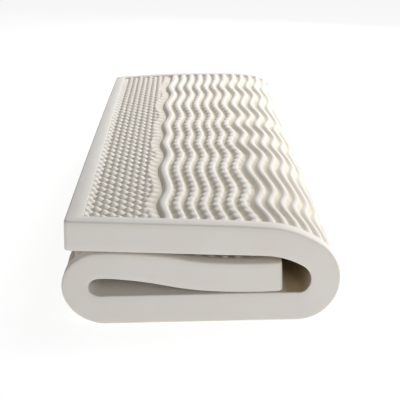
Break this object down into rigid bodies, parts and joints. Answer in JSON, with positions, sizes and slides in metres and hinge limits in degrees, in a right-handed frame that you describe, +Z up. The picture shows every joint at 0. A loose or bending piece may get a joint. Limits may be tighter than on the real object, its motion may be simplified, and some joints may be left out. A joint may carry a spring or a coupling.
{
  "type": "latex mattress",
  "caption": "One-piece moulded latex foam mattress with embossed nubs and wavy ridges, folded in three and lying flat on the floor.",
  "frame": {"origin": "on the floor, under the middle of the part's box", "axes": "+X along the folded length towards the wide bend, +Y across the mattress's width from the front edge to the back edge, +Z up"},
  "size_m": [0.717, 1.8196, 0.2881],
  "materials": {
    "latex": "matt natural latex foam, moulded, cream"
  },
  "bodies": {
    "root": {"mattress": "latex"}
  },
  "joints": []
}
